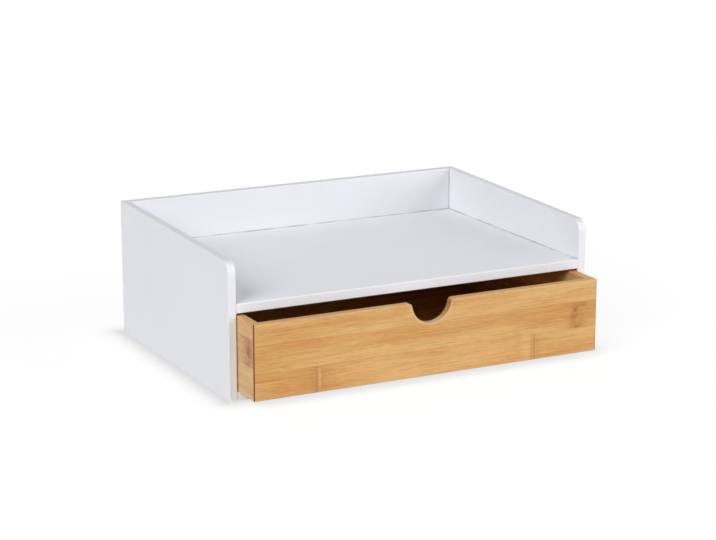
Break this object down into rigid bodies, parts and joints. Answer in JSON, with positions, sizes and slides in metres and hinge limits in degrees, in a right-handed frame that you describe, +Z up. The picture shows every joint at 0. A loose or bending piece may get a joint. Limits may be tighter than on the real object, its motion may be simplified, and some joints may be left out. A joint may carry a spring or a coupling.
{
  "type": "desk organizer with drawer",
  "caption": "Desk organizer: white painted letter tray with side walls and back, over a bamboo drawer with a half-round finger notch that slides out of the front.",
  "frame": {"origin": "on the table top, at the middle of the carcass's footprint (the drawer stands out in front of it)", "axes": "+X to the right across the width, -Y the front that the drawer pulls out of, +Z up"},
  "size_m": [0.331, 0.2605, 0.118],
  "materials": {
    "white_paint": "satin white paint on fibreboard, edges softly rounded",
    "bamboo": "clear satin lacquer on laminated caramel bamboo, strips and grain level",
    "bamboo_ply": "thin bamboo plywood, sanded",
    "dowel_beech": "plain beech"
  },
  "bodies": {
    "carcass": {"left_side_panel": "white_paint", "right_side_panel": "white_paint", "back_panel": "white_paint", "shelf_panel": "white_paint", "base_panel": "white_paint", "shelf_dowels": "dowel_beech", "base_dowels": "dowel_beech", "back_dowels": "dowel_beech"},
    "drawer": {"drawer_front": "bamboo", "drawer_left_side": "bamboo", "drawer_right_side": "bamboo", "drawer_back": "bamboo", "drawer_bottom": "bamboo_ply", "drawer_corner_splines": "bamboo_ply"}
  },
  "joints": [
    {"name": "drawer_slide", "type": "slide", "parent": "carcass", "child": "drawer", "axis": [0, -1, 0], "range_m": [-0.0305, 0.14]}
  ]
}
